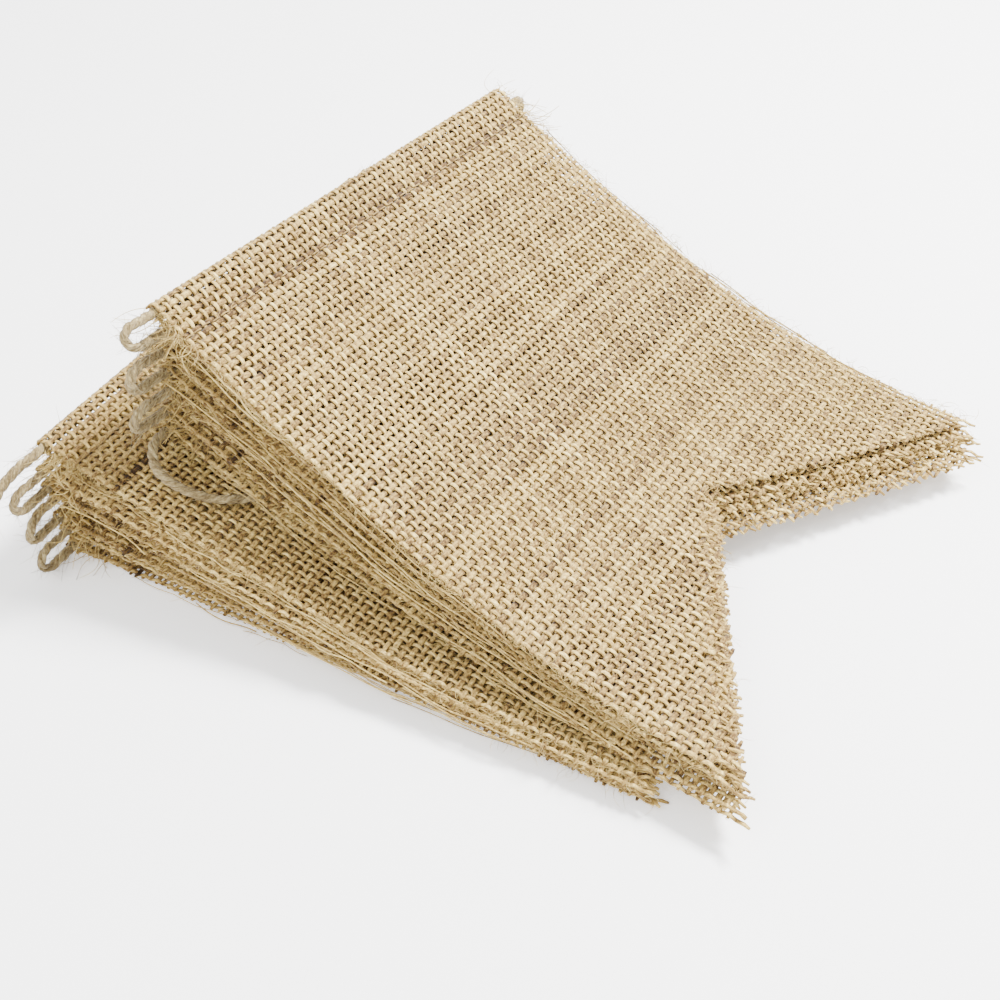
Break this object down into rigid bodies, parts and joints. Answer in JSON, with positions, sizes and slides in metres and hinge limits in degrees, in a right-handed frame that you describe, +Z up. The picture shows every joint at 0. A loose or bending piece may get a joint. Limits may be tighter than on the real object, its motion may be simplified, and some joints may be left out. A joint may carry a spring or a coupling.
{
  "type": "burlap bunting",
  "caption": "Natural burlap swallowtail flags threaded on jute twine, put away as two overlapping piles with the twine zigzagging from hem to hem.",
  "frame": {"origin": "bottom centre of the two piles of flags, on the floor, twine tail and coil left out", "axes": "+Z up from the floor that the piles lie on, +X roughly from the hems to the tips, +Y roughly along the hems, away from the twine's tail"},
  "size_m": [0.3297, 0.2316, 0.0751],
  "materials": {
    "burlap": "matte",
    "jute_twine": "matte"
  },
  "bodies": {
    "bottom_flag": {"flag_00": "burlap", "twine_00": "jute_twine", "twine_01": "jute_twine", "twine_02": "jute_twine", "twine_03": "jute_twine", "twine_04": "jute_twine", "twine_05": "jute_twine", "twine_06": "jute_twine", "twine_tail": "jute_twine", "twine_coil": "jute_twine"},
    "flag_01_body": {"flag_01": "burlap"},
    "flag_02_body": {"flag_02": "burlap"},
    "flag_03_body": {"flag_03": "burlap"},
    "flag_04_body": {"flag_04": "burlap"},
    "flag_05_body": {"flag_05": "burlap"},
    "flag_06_body": {"flag_06": "burlap", "tucked_end": "jute_twine"},
    "flag_07_body": {"flag_07": "burlap", "twine_07": "jute_twine"},
    "flag_08_body": {"flag_08": "burlap", "twine_08": "jute_twine"},
    "flag_09_body": {"flag_09": "burlap", "twine_09": "jute_twine"},
    "flag_10_body": {"flag_10": "burlap", "twine_10": "jute_twine"},
    "flag_11_body": {"flag_11": "burlap", "twine_11": "jute_twine"},
    "flag_12_body": {"flag_12": "burlap", "twine_12": "jute_twine"},
    "flag_13_body": {"flag_13": "burlap", "twine_13": "jute_twine"}
  },
  "joints": [
    {"name": "flag_01_lift", "type": "hinge", "parent": "bottom_flag", "child": "flag_01_body", "pos_m": [-0.08969, 0.04002, 0.00815], "axis": [-0.4685, -0.8834, 0], "range_deg": [0, 4.01]},
    {"name": "flag_02_lift", "type": "hinge", "parent": "bottom_flag", "child": "flag_02_body", "pos_m": [-0.09048, 0.03852, 0.01395], "axis": [-0.4681, -0.8837, 0], "range_deg": [0, 8.01]},
    {"name": "flag_03_lift", "type": "hinge", "parent": "bottom_flag", "child": "flag_03_body", "pos_m": [-0.08906, 0.0419, 0.01975], "axis": [-0.4716, -0.8818, 0], "range_deg": [0, 12.01]},
    {"name": "flag_04_lift", "type": "hinge", "parent": "bottom_flag", "child": "flag_04_body", "pos_m": [-0.09053, 0.03791, 0.02555], "axis": [-0.4674, -0.8841, 0], "range_deg": [0, 16.01]},
    {"name": "flag_05_lift", "type": "hinge", "parent": "bottom_flag", "child": "flag_05_body", "pos_m": [-0.09055, 0.03759, 0.03135], "axis": [-0.4645, -0.8856, 0], "range_deg": [0, 20.01]},
    {"name": "flag_06_lift", "type": "hinge", "parent": "bottom_flag", "child": "flag_06_body", "pos_m": [-0.08908, 0.04097, 0.03715], "axis": [-0.4732, -0.881, 0], "range_deg": [0, 24]},
    {"name": "flag_07_lift", "type": "hinge", "parent": "flag_06_body", "child": "flag_07_body", "pos_m": [-0.05109, 0.04194, 0.03556], "axis": [-0.5732, -0.8188, 0.0332], "range_deg": [0, 15]},
    {"name": "flag_08_lift", "type": "hinge", "parent": "flag_07_body", "child": "flag_08_body", "pos_m": [-0.0507, 0.04291, 0.04136], "axis": [-0.5735, -0.8185, 0.0332], "range_deg": [0, 15]},
    {"name": "flag_09_lift", "type": "hinge", "parent": "flag_08_body", "child": "flag_09_body", "pos_m": [-0.04962, 0.04419, 0.04716], "axis": [-0.5653, -0.8242, 0.0332], "range_deg": [0, 15]},
    {"name": "flag_10_lift", "type": "hinge", "parent": "flag_09_body", "child": "flag_10_body", "pos_m": [-0.04929, 0.04438, 0.05296], "axis": [-0.5688, -0.8218, 0.0332], "range_deg": [0, 15]},
    {"name": "flag_11_lift", "type": "hinge", "parent": "flag_10_body", "child": "flag_11_body", "pos_m": [-0.04893, 0.04516, 0.05876], "axis": [-0.571, -0.8203, 0.0332], "range_deg": [0, 15]},
    {"name": "flag_12_lift", "type": "hinge", "parent": "flag_11_body", "child": "flag_12_body", "pos_m": [-0.04741, 0.04661, 0.06456], "axis": [-0.5654, -0.8242, 0.0332], "range_deg": [0, 15]},
    {"name": "flag_13_lift", "type": "hinge", "parent": "flag_12_body", "child": "flag_13_body", "pos_m": [-0.04888, 0.04544, 0.07036], "axis": [-0.5715, -0.8199, 0.0332], "range_deg": [0, 70]}
  ],
  "couplings": [
    {"joint": "flag_01_lift", "follows": "flag_06_lift", "ratio": 0.16667},
    {"joint": "flag_02_lift", "follows": "flag_06_lift", "ratio": 0.33333},
    {"joint": "flag_03_lift", "follows": "flag_06_lift", "ratio": 0.5},
    {"joint": "flag_04_lift", "follows": "flag_06_lift", "ratio": 0.66667},
    {"joint": "flag_05_lift", "follows": "flag_06_lift", "ratio": 0.83333}
  ]
}
